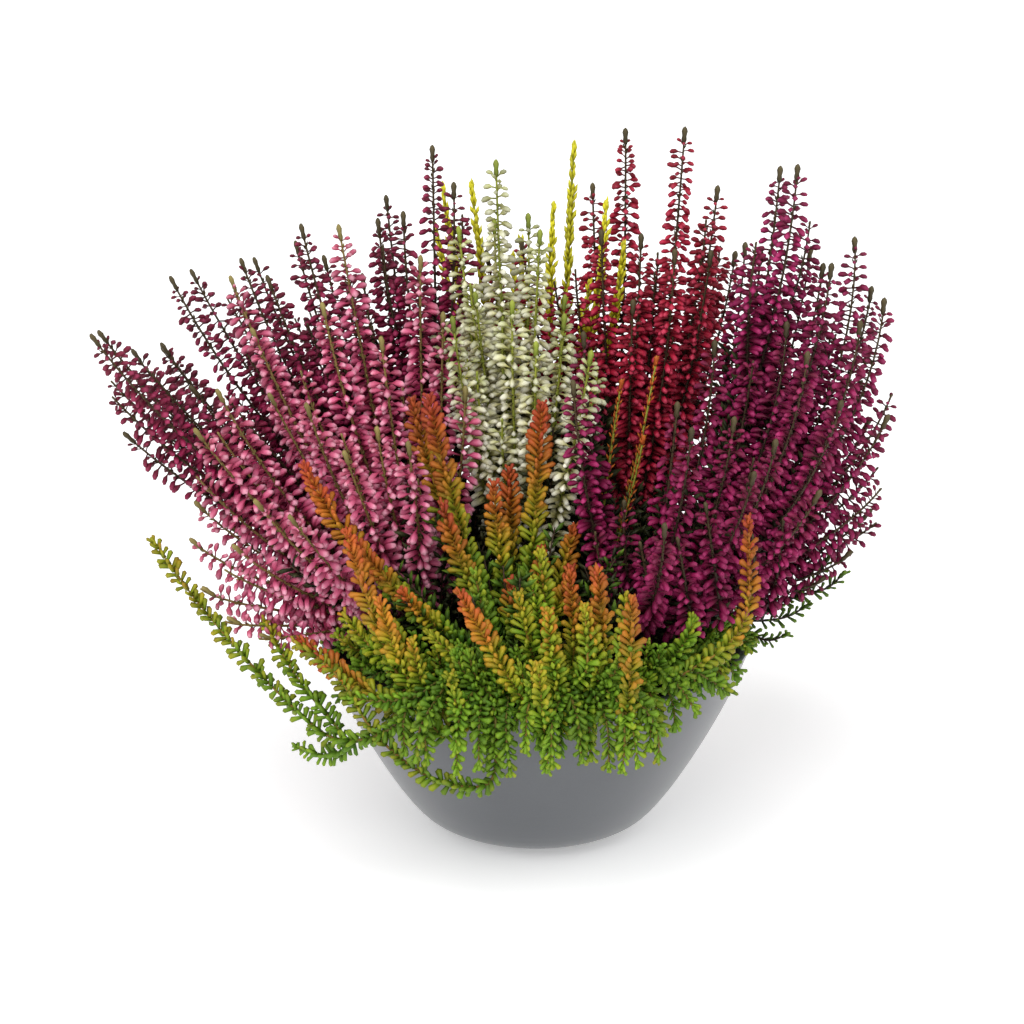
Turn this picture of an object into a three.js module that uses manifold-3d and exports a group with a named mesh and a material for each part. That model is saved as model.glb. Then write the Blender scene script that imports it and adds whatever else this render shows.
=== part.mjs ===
// A shallow grey bowl planted with mixed heathers: flowering sprays in six colours standing in the
// middle and round the back, and leafy green and orange sprays along the front and over the rim.
// Millimetres, +Z up, the front of the bowl at -Y, the foot on Z = 0.
import * as THREE from "three";
import { mergeVertices } from "three/addons/utils/BufferGeometryUtils.js";
import Module from "manifold-3d";

const wasm = await Module();
wasm.setup();

// Bowl and soil
const RIM_RADIUS = 95.5;
const RIM_HEIGHT = 90;
const WALL = 3.4;
const FLOOR = 4;
const FOOT_RADIUS = 29;
const SOIL_LEVEL = 78;
const SOIL_CROWN = 2.5;
const FIT_GAP = 0.3;
const ROUND_SIDES = 36;

// Woody crowns, each standing in a plain hole in the soil, and their leafy branches
const CROWN_RADIUS = 4.2;
const CROWN_DEPTH = 13;
const BRANCHING = 83.5;
const CROWN_HOLE_GAP = 0.5;
const BRANCH_RADIUS = 2.2;
const LONG_BRANCH = 35;
const LONG_BRANCH_SHAPE = { reach: 4, pitch: 16, bare: 0.45, stem: 1.6 };
const SHORT_BRANCH_SHAPE = { reach: 4, pitch: 16, bare: 0.6, stem: 1.6 };
const BASAL_SHAPE = { reach: 5, pitch: 10, bare: 0.2, stem: 1.2 };
const FAN_LENGTH = 52;

// Spikes: a stem whose florets stand out as staggered teeth
const STEM_RADIUS = 1.2;
const FORK_RADIUS = 1.8;
const FLORET_PITCH = 13;
const FORK_DROP = 116;
const LOWEST_FORK = 100;
const BARE_SHARE = 0.24;
const CORE_SHARE = 0.3;
const TRAILING_SHAPE = { reach: 5, pitch: 9.5, bare: 0.12 };

// Room kept between neighbours. A spike pushed back by them grows shorter, and one pushed forward taller.
const CLEARANCE = 1;
const BACKWARD_DROP = 0.325;
const SIDEWAYS_SHARE = 0.3;
const SIDEWAYS_RETURN = 0.1;
const BACKWARD_RETURN = 0.05;
const ROUNDS = 200;
const LEVEL_STEP = 7;

// The plants. Each has its crown on the soil, how strongly its stems arch upright, how far its florets
// reach from the stem, and its sprays, listed by the places of their tips. Basal stems are leafy shoots
// without flowers, listed by the points they pass. A fan is a row of them, low over the soil, from one
// compass direction to another. A plant that yields less than 1 gives way less than its neighbours.
const PLANTS = [
  {
    name: "crimson", crown: [-42, 38], arch: 0.35, reach: 5.2, colour: 0x7d1a40, leaf: 0x3c4626,
    sprays: [
      [[-189, 0, 225], [-186, 15, 223], [-178, -12, 186]],
      [[-172, 20, 215], [-169, 38, 213], [-168, 55, 207], [-159, 8, 202]],
      [[-165, 60, 238], [-158, 75, 238]],
      [[-133, 70, 244], [-129, 92, 239], [-120, 60, 238]],
      [[-109, 85, 249], [-105, 65, 260], [-97, 75, 244]],
      [[-77, 55, 240], [-71, 70, 262], [-68, 85, 270]],
      [[-58, 60, 267], [-46, 55, 300], [-36, 50, 283]],
      [[-132, 98, 200], [-108, 118, 204], [-78, 130, 198], [-88, 108, 224]],
    ],
  },
  {
    name: "pink", crown: [-45, -10], arch: 0.3, reach: 6, colour: 0xd9729c, leaf: 0x4c5a2c,
    sprays: [
      [[-135, 28, 247], [-125, 5, 229]],
      [[-135, -18, 207], [-115, -10, 203]],
      [[-144, -30, 193], [-150, -22, 141]],
      [[-118, -60, 171], [-129, -48, 147], [-103, -72, 168]],
      [[-94, -42, 208], [-84, -55, 191]],
      [[-84, 25, 270], [-89, 5, 240]],
      [[-75, -48, 200], [-63, -15, 230], [-57, -52, 194]],
      [[-51, 15, 259], [-43, 0, 237], [-34, -22, 210]],
    ],
  },
  {
    name: "white", crown: [-6, 6], arch: 0.3, reach: 5.8, colour: 0xdfe3cb, leaf: 0x6f8a3a,
    sprays: [
      [[-14, 35, 296], [-18, 50, 268], [-6, 40, 272]],
      [[-32, 35, 267], [-36, -5, 236], [-24, 15, 242]],
      [[2, 25, 267], [10, 15, 242], [4, -8, 239]],
      [[-10, -22, 230], [-4, 2, 241]],
      [[27, -35, 229]],
    ],
  },
  {
    name: "golden", crown: [4, 52], arch: 0.4, reach: 3.4, colour: 0xcfc52a, leaf: 0x7d8a2a,
    sprays: [
      [[-42, 95, 272], [-29, 80, 277]],
      [[9, 75, 269], [16, 70, 297], [40, 60, 253]],
      [[-38, 128, 206], [-8, 134, 200], [22, 126, 208], [-10, 114, 236]],
    ],
  },
  {
    name: "red", crown: [40, 38], arch: 0.5, reach: 5.2, colour: 0xab1c3f, leaf: 0x40482a,
    sprays: [
      [[-20, 65, 249], [-7, 80, 249]],
      [[26, 80, 277], [38, 70, 304], [29, 55, 260]],
      [[47, 45, 261], [43, 28, 235], [60, 35, 256]],
      [[66, 62, 305], [82, 75, 276], [92, 92, 242], [78, 50, 252]],
      [[50, 130, 200], [76, 120, 206], [98, 106, 202], [62, 110, 232]],
    ],
  },
  {
    name: "magenta_near", crown: [42, -26], arch: 0.7, reach: 5.8, colour: 0x9c1d66, leaf: 0x3a4a2a,
    sprays: [
      [[15, -15, 232], [18, -32, 215]],
      [[65, -55, 201], [58, -40, 208], [76, -15, 228]],
      [[84, -45, 203], [98, -48, 194], [91, -65, 185]],
      [[52, -85, 169], [36, -75, 176]],
      [[108, -5, 234], [116, -22, 225], [128, -28, 205], [120, -40, 169]],
    ],
  },
  {
    name: "magenta_far", crown: [58, 12], arch: 0.75, reach: 5.8, colour: 0x93195c, leaf: 0x3a4a2a,
    sprays: [
      [[95, 65, 253], [100, 45, 254]],
      [[107, 50, 289], [112, 35, 292]],
      [[123, 58, 252], [126, 30, 251], [127, 8, 256]],
      [[139, 25, 264], [149, 45, 237], [148, 22, 183]],
      [[150, 10, 240], [138, -10, 235], [152, -5, 192]],
      [[132, 74, 204], [148, 58, 190], [114, 92, 208], [128, 62, 226]],
    ],
    basal: [
      [[64, 11, 86], [76, 6, 94], [92, 6, 100], [108, 9, 102], [122, 10, 99]],
      [[80, 6, 96], [92, -3, 99], [112, -12, 94]],
    ],
  },
  {
    name: "foliage", crown: [-8, -52], arch: 0.35, reach: 5.2, colour: 0xb98a26, leaf: 0x55702a, yields: 0.3,
    sprays: [
      [[-44, -70, 221], [-51, -60, 217], [-37, -84, 178]],
      [[-96, -62, 188], [-77, -78, 161], [-56, -92, 142], [-84, -82, 122]],
      [[-21, -55, 178], [-14, -50, 183], [-26, -80, 147], [-10, -72, 140], [-42, -88, 122]],
      [[2, -50, 212], [3, -70, 154], [-2, -84, 145], [7, -80, 139]],
      [[17, -72, 164], [13, -86, 150], [25, -92, 154], [44, -84, 128]],
    ],
    fan: { from: -172, to: -8, shoots: 9, edge: 86, start: 85, end: 91 },
  },
  {
    name: "amber", crown: [20, -4], arch: 0.3, reach: 4.2, colour: 0xb57722, leaf: 0x6a6a2a,
    sprays: [[[52, 0, 217], [45, -22, 188], [37, -12, 210]]],
  },
];

// Leafy stems that hang over the rim and turn up again: the fork they leave from, the points each
// stem passes, and the side stems that spring from them.
const TRAILING = [
  {
    name: "foliage_trailing_left", plant: "foliage", colour: 0x8f9a2c, fork: [-30, -76, 101],
    stems: [
      [[-45, -93, 100], [-62, -101, 84], [-85, -85, 74], [-104, -66, 81], [-125, -46, 95],
        [-147, -31, 116], [-167, -20, 141]],
      [[-20, -97, 99], [-17, -111, 80], [-20, -114, 66], [-40, -110, 65], [-65, -101, 80],
        [-84, -85, 103], [-103, -66, 111]],
    ],
    side: [
      [[-79, -89, 75], [-90, -74, 82], [-104, -54, 92], [-118, -34, 109]],
      [[-74, -94, 77], [-88, -80, 64], [-104, -64, 62]],
      [[-36, -83, 101], [-39, -98, 101], [-48, -112, 90], [-50, -118, 76]],
      [[-33, -80, 101], [-36, -96, 104], [-35, -108, 112]],
      [[-50, -96, 97], [-64, -96, 95], [-80, -92, 95]],
      [[-24, -92, 100], [-31, -106, 96], [-34, -116, 80]],
    ],
  },
  {
    name: "foliage_front", plant: "foliage", colour: 0x7ba632, fork: [13, -77, 101],
    stems: [
      [[28, -98, 101], [38, -112, 92], [41, -118, 74]],
      [[13, -96, 101], [16, -110, 94], [18, -118, 76]],
      [[0, -96, 101], [-4, -109, 96], [-5, -117, 80]],
    ],
    side: [
      [[24, -93, 101], [33, -105, 114], [36, -105, 146]],
      [[2, -93, 101], [-2, -108, 106], [-1, -112, 119]],
      [[11, -90, 101], [6, -101, 112], [4, -100, 138]],
      [[14, -92, 101], [20, -103, 112], [19, -99, 139]],
      [[27, -97, 101], [40, -102, 98], [52, -108, 84]],
      [[12, -94, 101], [6, -112, 92], [6, -120, 74]],
      [[21, -92, 101], [28, -111, 92], [29, -120, 73]],
    ],
  },
  {
    name: "foliage_trailing_right", plant: "foliage", colour: 0xa39a2c, fork: [46, -70, 101],
    stems: [
      [[56, -88, 102], [67, -90, 109], [79, -83, 115], [87, -77, 126], [88, -74, 146], [87, -72, 168]],
    ],
    side: [
      [[54, -86, 102], [59, -97, 101], [66, -104, 92]],
      [[64, -90, 107], [72, -94, 103], [82, -92, 97]],
    ],
  },
];

// A seeded stream of numbers from 0 to 1.
function seeded(seed) {
  let state = seed >>> 0;
  return () => {
    state = (Math.imul(state, 1664525) + 1013904223) >>> 0;
    return state / 4294967296;
  };
}

// Bowl outline: radius of the outer face at a height. It swells quickly from the foot, then leans out.
const BOWL_OUTLINE = [
  [29, 0], [34, 1], [43, 4.4], [52.8, 10.4], [61.1, 20.4], [69.8, 34], [78, 48.5], [87.2, 67], [95.5, 88],
];

function outerRadius(z) {
  const above = BOWL_OUTLINE.findIndex(([, height]) => height >= z);
  if (above < 0) return RIM_RADIUS;
  if (above === 0) return FOOT_RADIUS;
  const [r0, z0] = BOWL_OUTLINE[above - 1];
  const [r1, z1] = BOWL_OUTLINE[above];
  return r0 + ((r1 - r0) * (z - z0)) / (z1 - z0);
}

// Solid body from a closed geometry, and back.
function solid(geometry) {
  const bare = geometry.clone();
  bare.deleteAttribute("normal");
  bare.deleteAttribute("uv");
  const merged = mergeVertices(bare, 1e-4);
  return new wasm.Manifold(
    new wasm.Mesh({
      numProp: 3,
      vertProperties: new Float32Array(merged.attributes.position.array),
      triVerts: new Uint32Array(merged.index.array),
    }),
  );
}

// The largest outer shell, without the small hollows that fusing can seal inside it.
function largestShell(body) {
  return body.decompose().reduce((best, shell) => (shell.volume() > best.volume() ? shell : best));
}

function geometryOf(body) {
  const mesh = largestShell(body).getMesh();
  const geometry = new THREE.BufferGeometry();
  geometry.setAttribute("position", new THREE.BufferAttribute(mesh.vertProperties, 3));
  geometry.setIndex(new THREE.BufferAttribute(mesh.triVerts, 1));
  return geometry;
}

function turned(profile, sides) {
  const points = profile.map(([r, z]) => new THREE.Vector2(r, z));
  return new THREE.LatheGeometry(points, sides).rotateX(Math.PI / 2);
}

// Closed tube of four-sided rings along a path. At each level two opposite corners stand out as florets
// and two stay on the stem; the next level has them the other way round. A blunt tube ends flat, square to
// the fork; a pointed one can start square to it.
function spikeGeometry(path, { reach, pitch, bare, stem, foot, spin, blunt, square }) {
  const length = path.getLength();
  const levels = Math.round((length * (0.93 - bare)) / pitch);
  const stations = [{ t: 0, r: foot ?? stem, out: foot ?? stem }];
  if (bare > 0) stations.push({ t: bare, r: stem, out: stem });
  for (let i = 0; i < levels; i++) {
    const t = bare + ((0.93 - bare) * (i + 0.6)) / levels;
    const taper = Math.min(1, 0.35 + (1 - t) * 1.9);
    stations.push({ t, r: reach * CORE_SHARE, out: reach * taper, odd: i % 2 });
  }
  if (blunt) stations.push({ t: 1, r: blunt, out: blunt });
  else stations.push({ t: 0.95, r: 1.1, out: 1.1 });

  const positions = [];
  let side = null;
  for (const { t, r, out, odd } of stations) {
    const at = path.getPointAt(t);
    const along = square && t === (blunt ? 1 : 0) ? square : path.getTangentAt(t);
    if (!side) {
      side = new THREE.Vector3(Math.cos(spin), Math.sin(spin), 0.2).cross(along).normalize();
    }
    side.addScaledVector(along, -side.dot(along)).normalize();
    const across = new THREE.Vector3().crossVectors(along, side);
    for (let k = 0; k < 4; k++) {
      const tooth = out > r && k % 2 === odd;
      const radius = tooth ? out : r;
      const angle = (k * Math.PI) / 2;
      const p = at.clone();
      p.addScaledVector(side, Math.cos(angle) * radius);
      p.addScaledVector(across, Math.sin(angle) * radius);
      if (tooth) p.addScaledVector(along, pitch * 0.22);
      positions.push(p.x, p.y, p.z);
    }
  }
  const faces = [0, 2, 1, 0, 3, 2];
  const last = stations.length - 1;
  const end = last * 4;
  if (blunt) {
    faces.push(end, end + 1, end + 2, end, end + 2, end + 3);
  } else {
    const tip = path.getPointAt(1);
    positions.push(tip.x, tip.y, tip.z);
    for (let k = 0; k < 4; k++) faces.push(end + k, end + ((k + 1) % 4), end + 4);
  }
  for (let s = 0; s < last; s++) {
    const toothFirst = stations[s + 1].odd ?? (stations[s].odd === 0 ? 1 : 0);
    for (let k = 0; k < 4; k++) {
      const a = s * 4 + k;
      const b = s * 4 + ((k + 1) % 4);
      const c = a + 4;
      const d = b + 4;
      // Each quad is split between its two stem corners, so that every floret is a pyramid.
      if (k % 2 === toothFirst) faces.push(a, b, d, a, d, c);
      else faces.push(a, b, c, b, d, c);
    }
  }

  const geometry = new THREE.BufferGeometry();
  geometry.setAttribute("position", new THREE.Float32BufferAttribute(positions, 3));
  geometry.setIndex(faces);
  return geometry;
}

// Short plain post between two points.
function postGeometry(from, to, r0, r1, sides) {
  const along = new THREE.Vector3().subVectors(to, from);
  const geometry = new THREE.CylinderGeometry(r1, r0, along.length(), sides);
  geometry.translate(0, along.length() / 2, 0);
  const turn = new THREE.Quaternion().setFromUnitVectors(new THREE.Vector3(0, 1, 0), along.normalize());
  return geometry.applyQuaternion(turn).translate(from.x, from.y, from.z);
}

// The middle line of a spray, from its crown towards the mean of its tips, and the line of one spike,
// which leaves it at the fork. Both give x and y at a height.
function middleLine(plant, spray, z) {
  const rise = Math.max(0, (z - BRANCHING) / (spray.mean[2] - BRANCHING));
  const share = rise + plant.arch * rise * (1 - rise);
  return [0, 1].map((k) => plant.crown[k] + (spray.mean[k] - plant.crown[k]) * share);
}

function spikeLine(plant, spray, tip, z) {
  const rise = (z - spray.forkHeight) / (tip[2] - spray.forkHeight);
  const spread = rise <= 0 ? 0 : 1 - (1 - rise) ** 2;
  const middle = middleLine(plant, spray, z);
  const end = middleLine(plant, spray, tip[2]);
  return [0, 1].map((k) => middle[k] + (tip[k] - end[k]) * spread);
}

function settle(spray) {
  const { tips } = spray;
  spray.mean = [0, 1, 2].map((k) => tips.reduce((sum, tip) => sum + tip[k], 0) / tips.length);
  spray.forkHeight = Math.max(LOWEST_FORK, Math.min(...tips.map((tip) => tip[2])) - FORK_DROP);
}

const sprays = [];
for (const plant of PLANTS) {
  plant.sprays.forEach((tips, i) => {
    const spray = {
      plant,
      name: `${plant.name}_spray_${String(i + 1).padStart(2, "0")}`,
      tips: tips.map((tip) => [...tip]),
      home: tips,
    };
    settle(spray);
    sprays.push(spray);
  });
}

function pathThrough(points) {
  return new THREE.CatmullRomCurve3(points.map((p) => new THREE.Vector3(...p)), false, "centripetal");
}

const trailing = TRAILING.map((bunch) => {
  const [x, y] = PLANTS.find((plant) => plant.name === bunch.plant).crown;
  const at = new THREE.Vector3(...bunch.fork);
  const out = new THREE.Vector3(at.x - x, at.y - y, 0).normalize();
  const along = out.clone().setZ(0.35).normalize();
  const knee = at.clone().addScaledVector(along, -8);
  const root = at.clone().addScaledVector(along, FIT_GAP);
  const after = at.clone().addScaledVector(along, 4);
  const start = (i) => (i ? [after.toArray()] : [root.toArray(), after.toArray()]);
  return {
    ...bunch,
    at,
    along,
    branch: pathThrough([[x, y, BRANCHING - 1], knee.toArray(), at.toArray()]),
    paths: [...bunch.stems.map((stem, i) => [...start(i), ...stem]), ...bunch.side].map(pathThrough),
  };
});

// Sprays grow clear of each other. Level by level, any two that stand too close are moved apart,
// mostly forwards and back, until each has its own room.
function crossings(z) {
  const found = [];
  for (const spray of sprays) {
    const { plant } = spray;
    if (z < spray.forkHeight) {
      const [x, y] = middleLine(plant, spray, z);
      const share = Math.max(0.5, (z - BRANCHING) / (spray.mean[2] - BRANCHING));
      const tall = spray.forkHeight - BRANCHING > LONG_BRANCH;
      const leafy = tall && z > BRANCHING + 0.45 * (spray.forkHeight - BRANCHING);
      const r = leafy ? LONG_BRANCH_SHAPE.reach : BRANCH_RADIUS;
      found.push({ spray, plant, x, y, r, share, tips: spray.tips });
      continue;
    }
    for (const tip of spray.tips) {
      if (z > tip[2]) continue;
      const [x, y] = spikeLine(plant, spray, tip, z);
      const rise = (z - spray.forkHeight) / (tip[2] - spray.forkHeight);
      const taper = Math.min(1, 0.35 + (1 - rise) * 1.9);
      const r = rise < BARE_SHARE * 0.7 ? FORK_RADIUS + 0.4 : plant.reach * taper;
      found.push({ spray, x, y, r, share: Math.max(0.4, rise), tips: [tip], rise });
    }
  }
  for (const bunch of trailing) {
    for (const p of bunch.branch.getSpacedPoints(16)) {
      if (Math.abs(p.z - z) < LEVEL_STEP / 2) found.push({ x: p.x, y: p.y, r: 3, tips: [] });
    }
    for (const path of bunch.paths) {
      for (const p of path.getSpacedPoints(24)) {
        if (Math.abs(p.z - z) < LEVEL_STEP / 2) found.push({ x: p.x, y: p.y, r: 6, tips: [] });
      }
    }
  }
  return found;
}

function yielding({ spray }) {
  return spray ? spray.plant.yields ?? 1 : 0;
}

function growApart() {
  for (let z = BRANCHING + 4; z < 306; z += LEVEL_STEP) {
    const found = crossings(z);
    for (let i = 0; i < found.length; i++) {
      for (let j = i + 1; j < found.length; j++) {
        const a = found[i];
        const b = found[j];
        if (!a.spray && !b.spray) continue;
        if (a.plant && a.plant === b.plant) continue;
        const same = a.spray === b.spray;
        if (same && !(a.rise > 0.3 && b.rise > 0.3)) continue;
        const room = (a.r + b.r) * 1.06 + (same ? 0.3 : CLEARANCE);
        const dx = a.x - b.x;
        const dy = a.y - b.y;
        const apart = Math.hypot(dx, dy);
        if (apart >= room) continue;
        const push = ((room - apart) * 0.6) / Math.max(apart, 0.5) / (yielding(a) + yielding(b));
        for (const [one, sign] of [[a, 1], [b, -1]]) {
          const step = (sign * push * yielding(one)) / one.share;
          for (const tip of one.tips) {
            tip[0] += step * SIDEWAYS_SHARE * dx;
            tip[1] += step * (dy || 1);
          }
        }
      }
    }
  }
  for (const spray of sprays) {
    const hold = 1 / yielding({ spray });
    spray.tips.forEach((tip, i) => {
      const home = spray.home[i];
      tip[0] += (home[0] - tip[0]) * SIDEWAYS_RETURN * hold;
      tip[1] += (home[1] - tip[1]) * BACKWARD_RETURN * hold;
      tip[2] = home[2] - BACKWARD_DROP * (tip[1] - home[1]);
    });
    settle(spray);
  }
}

for (let round = 0; round < ROUNDS; round++) growApart();

const part = new THREE.Group();

function addNode(name, body, colour, roughness) {
  const finish = { color: colour, roughness, metalness: 0, flatShading: true };
  const geometry = body instanceof THREE.BufferGeometry ? body : geometryOf(body);
  const mesh = new THREE.Mesh(geometry, new THREE.MeshStandardMaterial(finish));
  mesh.name = name;
  part.add(mesh);
}

// Bowl: one turned wall with a rounded rim and a flat foot.
const bowlProfile = [
  [0, 0],
  ...BOWL_OUTLINE,
  [RIM_RADIUS - 0.4, RIM_HEIGHT - 0.7],
  [RIM_RADIUS - WALL / 2, RIM_HEIGHT],
  [RIM_RADIUS - WALL + 0.2, RIM_HEIGHT - 0.7],
  ...[67, 48.5, 34, 20.4, 10].map((z) => [outerRadius(z) - WALL, z]),
  [outerRadius(6) - WALL - 6, FLOOR],
  [0, FLOOR],
];
addNode("bowl", turned(bowlProfile, ROUND_SIDES), 0x8a8c90, 0.55);

// Soil: fills the bowl to just below the rim, a little higher in the middle, with a hole for each crown.
const soilRadius = (z) => outerRadius(z) - WALL - FIT_GAP - 0.3;
const soilProfile = [
  [0, FLOOR + FIT_GAP],
  [outerRadius(6) - WALL - 6.5, FLOOR + FIT_GAP],
  ...[10, 34, 67].map((z) => [soilRadius(z), z]),
  [soilRadius(SOIL_LEVEL), SOIL_LEVEL],
  [60, SOIL_LEVEL + SOIL_CROWN * 0.6],
  [0, SOIL_LEVEL + SOIL_CROWN],
];
let soil = solid(turned(soilProfile, ROUND_SIDES));
for (const plant of PLANTS) {
  const [x, y] = plant.crown;
  const foot = new THREE.Vector3(x, y, SOIL_LEVEL - CROWN_DEPTH - 1);
  const top = new THREE.Vector3(x, y, SOIL_LEVEL + 8);
  const r = CROWN_RADIUS + CROWN_HOLE_GAP;
  soil = soil.subtract(solid(postGeometry(foot, top, r, r, 6)));
}
addNode("soil", soil, 0x2b2019, 0.95);

// Crown and woody branches of a plant, one body: a post in its hole and a leafy branch to each fork.
const spins = seeded(7);

function forkOf(spray) {
  const z = spray.forkHeight;
  const at = new THREE.Vector3(...middleLine(spray.plant, spray, z), z);
  const above = new THREE.Vector3(...middleLine(spray.plant, spray, z + 2), z + 2);
  return { at, along: above.sub(at).normalize() };
}

function branchPath(spray) {
  const start = BRANCHING - 1;
  const points = [0, 0.25, 0.5, 0.75, 1].map((share) => {
    const z = start + (spray.forkHeight - start) * share;
    return [...middleLine(spray.plant, spray, z), z];
  });
  return pathThrough(points);
}

// Points of the low shoots in a plant's fan: each runs out from the crown to a circle inside the rim.
function fanStems({ crown: [x, y], fan }) {
  if (!fan) return [];
  return Array.from({ length: fan.shoots }, (_, i) => {
    const angle = THREE.MathUtils.degToRad(fan.from + ((fan.to - fan.from) * i) / (fan.shoots - 1));
    const [dx, dy] = [Math.cos(angle), Math.sin(angle)];
    const towards = x * dx + y * dy;
    const room = Math.sqrt(towards ** 2 + fan.edge ** 2 - x ** 2 - y ** 2) - towards;
    const length = Math.min(room, FAN_LENGTH);
    return [0.04, 0.4, 0.75, 1].map((share) => {
      const z = fan.start + (fan.end - fan.start) * share;
      return [x + dx * length * share, y + dy * length * share, z];
    });
  });
}

for (const plant of PLANTS) {
  const [x, y] = plant.crown;
  const foot = new THREE.Vector3(x, y, SOIL_LEVEL - CROWN_DEPTH);
  const top = new THREE.Vector3(x, y, BRANCHING + 3);
  let wood = solid(postGeometry(foot, top, CROWN_RADIUS, CROWN_RADIUS * 0.8, 6));
  const branches = sprays
    .filter((spray) => spray.plant === plant)
    .map((spray) => ({ path: branchPath(spray), square: forkOf(spray).along }));
  for (const bunch of trailing) {
    if (bunch.plant === plant.name) branches.push({ path: bunch.branch, square: bunch.along });
  }
  for (const { path, square } of branches) {
    const long = path.getPointAt(1).z - BRANCHING > LONG_BRANCH;
    const shape = long ? LONG_BRANCH_SHAPE : SHORT_BRANCH_SHAPE;
    const ends = { blunt: FORK_RADIUS, square };
    wood = wood.add(solid(spikeGeometry(path, { ...shape, ...ends, spin: spins() * 6.3 })));
  }
  for (const stem of [...(plant.basal ?? []), ...fanStems(plant)]) {
    wood = wood.add(solid(spikeGeometry(pathThrough(stem), { ...BASAL_SHAPE, spin: spins() * 6.3 })));
  }
  addNode(`${plant.name}_branches`, wood, plant.leaf, 0.9);
}

// Sprays: the first spike stands on the branch end and carries the others, whose roots are sunk in it.
function sprayBody(paths, square, shape) {
  const [first, ...others] = paths;
  const stem = STEM_RADIUS;
  const root = { foot: FORK_RADIUS, square };
  let body = solid(spikeGeometry(first, { ...shape, ...root, stem, spin: spins() * 6.3 }));
  for (const path of others) {
    body = body.add(solid(spikeGeometry(path, { ...shape, stem, spin: spins() * 6.3 })));
  }
  return body;
}

for (const spray of sprays) {
  const { plant } = spray;
  const { at, along } = forkOf(spray);
  const paths = spray.tips.map((tip, i) => {
    const low = spray.forkHeight + (i ? 3 : 6) * along.z;
    const points = [0, 0.15, 0.3, 0.45, 0.6, 0.8, 1].map((rise) => {
      const z = low + (tip[2] - low) * rise;
      return [...spikeLine(plant, spray, tip, z), z];
    });
    if (i === 0) points.unshift(at.clone().addScaledVector(along, FIT_GAP).toArray());
    return pathThrough(points);
  });
  const body = sprayBody(paths, along, { reach: plant.reach, pitch: FLORET_PITCH, bare: BARE_SHARE });
  addNode(spray.name, body, plant.colour, 0.75);
}

for (const bunch of trailing) {
  const body = sprayBody(bunch.paths, bunch.along, TRAILING_SHAPE);
  addNode(bunch.name, body, bunch.colour, 0.75);
}

export default part;
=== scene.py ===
import math

import bpy
import numpy as np
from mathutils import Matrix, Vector


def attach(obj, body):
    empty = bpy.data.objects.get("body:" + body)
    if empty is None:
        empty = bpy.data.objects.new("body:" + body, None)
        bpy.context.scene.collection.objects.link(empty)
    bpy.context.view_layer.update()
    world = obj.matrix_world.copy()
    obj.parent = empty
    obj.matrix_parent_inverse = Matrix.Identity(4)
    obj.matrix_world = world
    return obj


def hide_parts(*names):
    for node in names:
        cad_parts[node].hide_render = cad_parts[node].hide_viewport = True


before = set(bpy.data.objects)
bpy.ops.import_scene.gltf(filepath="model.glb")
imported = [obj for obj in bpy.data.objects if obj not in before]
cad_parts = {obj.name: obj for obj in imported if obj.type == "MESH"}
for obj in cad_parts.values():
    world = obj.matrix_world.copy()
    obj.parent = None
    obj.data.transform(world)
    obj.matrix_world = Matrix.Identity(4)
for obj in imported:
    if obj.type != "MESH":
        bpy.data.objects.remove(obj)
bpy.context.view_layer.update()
bpy.ops.object.select_all(action="DESELECT")

# Bowl. A shallow round planter in thick matt grey plastic, moulded in one piece. It swells quickly from
# a narrow flat foot and then leans out to a rounded rim. The heathers stand in its soil.
MM = 0.001
BOWL_OUTSIDE = [
    (29, 0), (33.6, 1), (39, 3), (46.6, 6), (52.8, 10.2), (61.1, 20.4), (69.8, 34),
    (78, 48.5), (87.2, 67), (91.6, 78.5), (95.2, 88),
]
BOWL_RIM = [(95.2, 88.9), (94.7, 89.6), (93.7, 90), (92.8, 89.7), (92.2, 89)]
BOWL_WALL = 3.4
BOWL_INSIDE_FROM, BOWL_INSIDE_TO = 10, 86
BOWL_FLOOR = [(38, 4.4), (30, 4)]
BOWL_SIDES = 128
BOWL_SMOOTHING = math.radians(35)


def smooth_through(points, steps):
    """Points along the centripetal curve that passes through the given ones, steps to each stretch."""
    points = np.asarray(points, float)
    before, after = 2 * points[0] - points[1], 2 * points[-1] - points[-2]
    points = np.concatenate([[before], points, [after]])
    made = []
    for a, b, c, d in zip(points[:-3], points[1:-2], points[2:-1], points[3:]):
        t1, t2, t3 = np.cumsum([math.sqrt(np.linalg.norm(q - p)) for p, q in ((a, b), (b, c), (c, d))])
        t = np.linspace(t1, t2, steps, endpoint=False)[:, None]
        low = (t1 - t) / t1 * a + t / t1 * b
        mid = (t2 - t) / (t2 - t1) * b + (t - t1) / (t2 - t1) * c
        high = (t3 - t) / (t3 - t2) * c + (t - t2) / (t3 - t2) * d
        first = (t2 - t) / t2 * low + t / t2 * mid
        second = (t3 - t) / (t3 - t1) * mid + (t - t1) / (t3 - t1) * high
        made.append((t2 - t) / (t2 - t1) * first + (t - t1) / (t2 - t1) * second)
    return np.concatenate(made + [points[-2:-1]])


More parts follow.
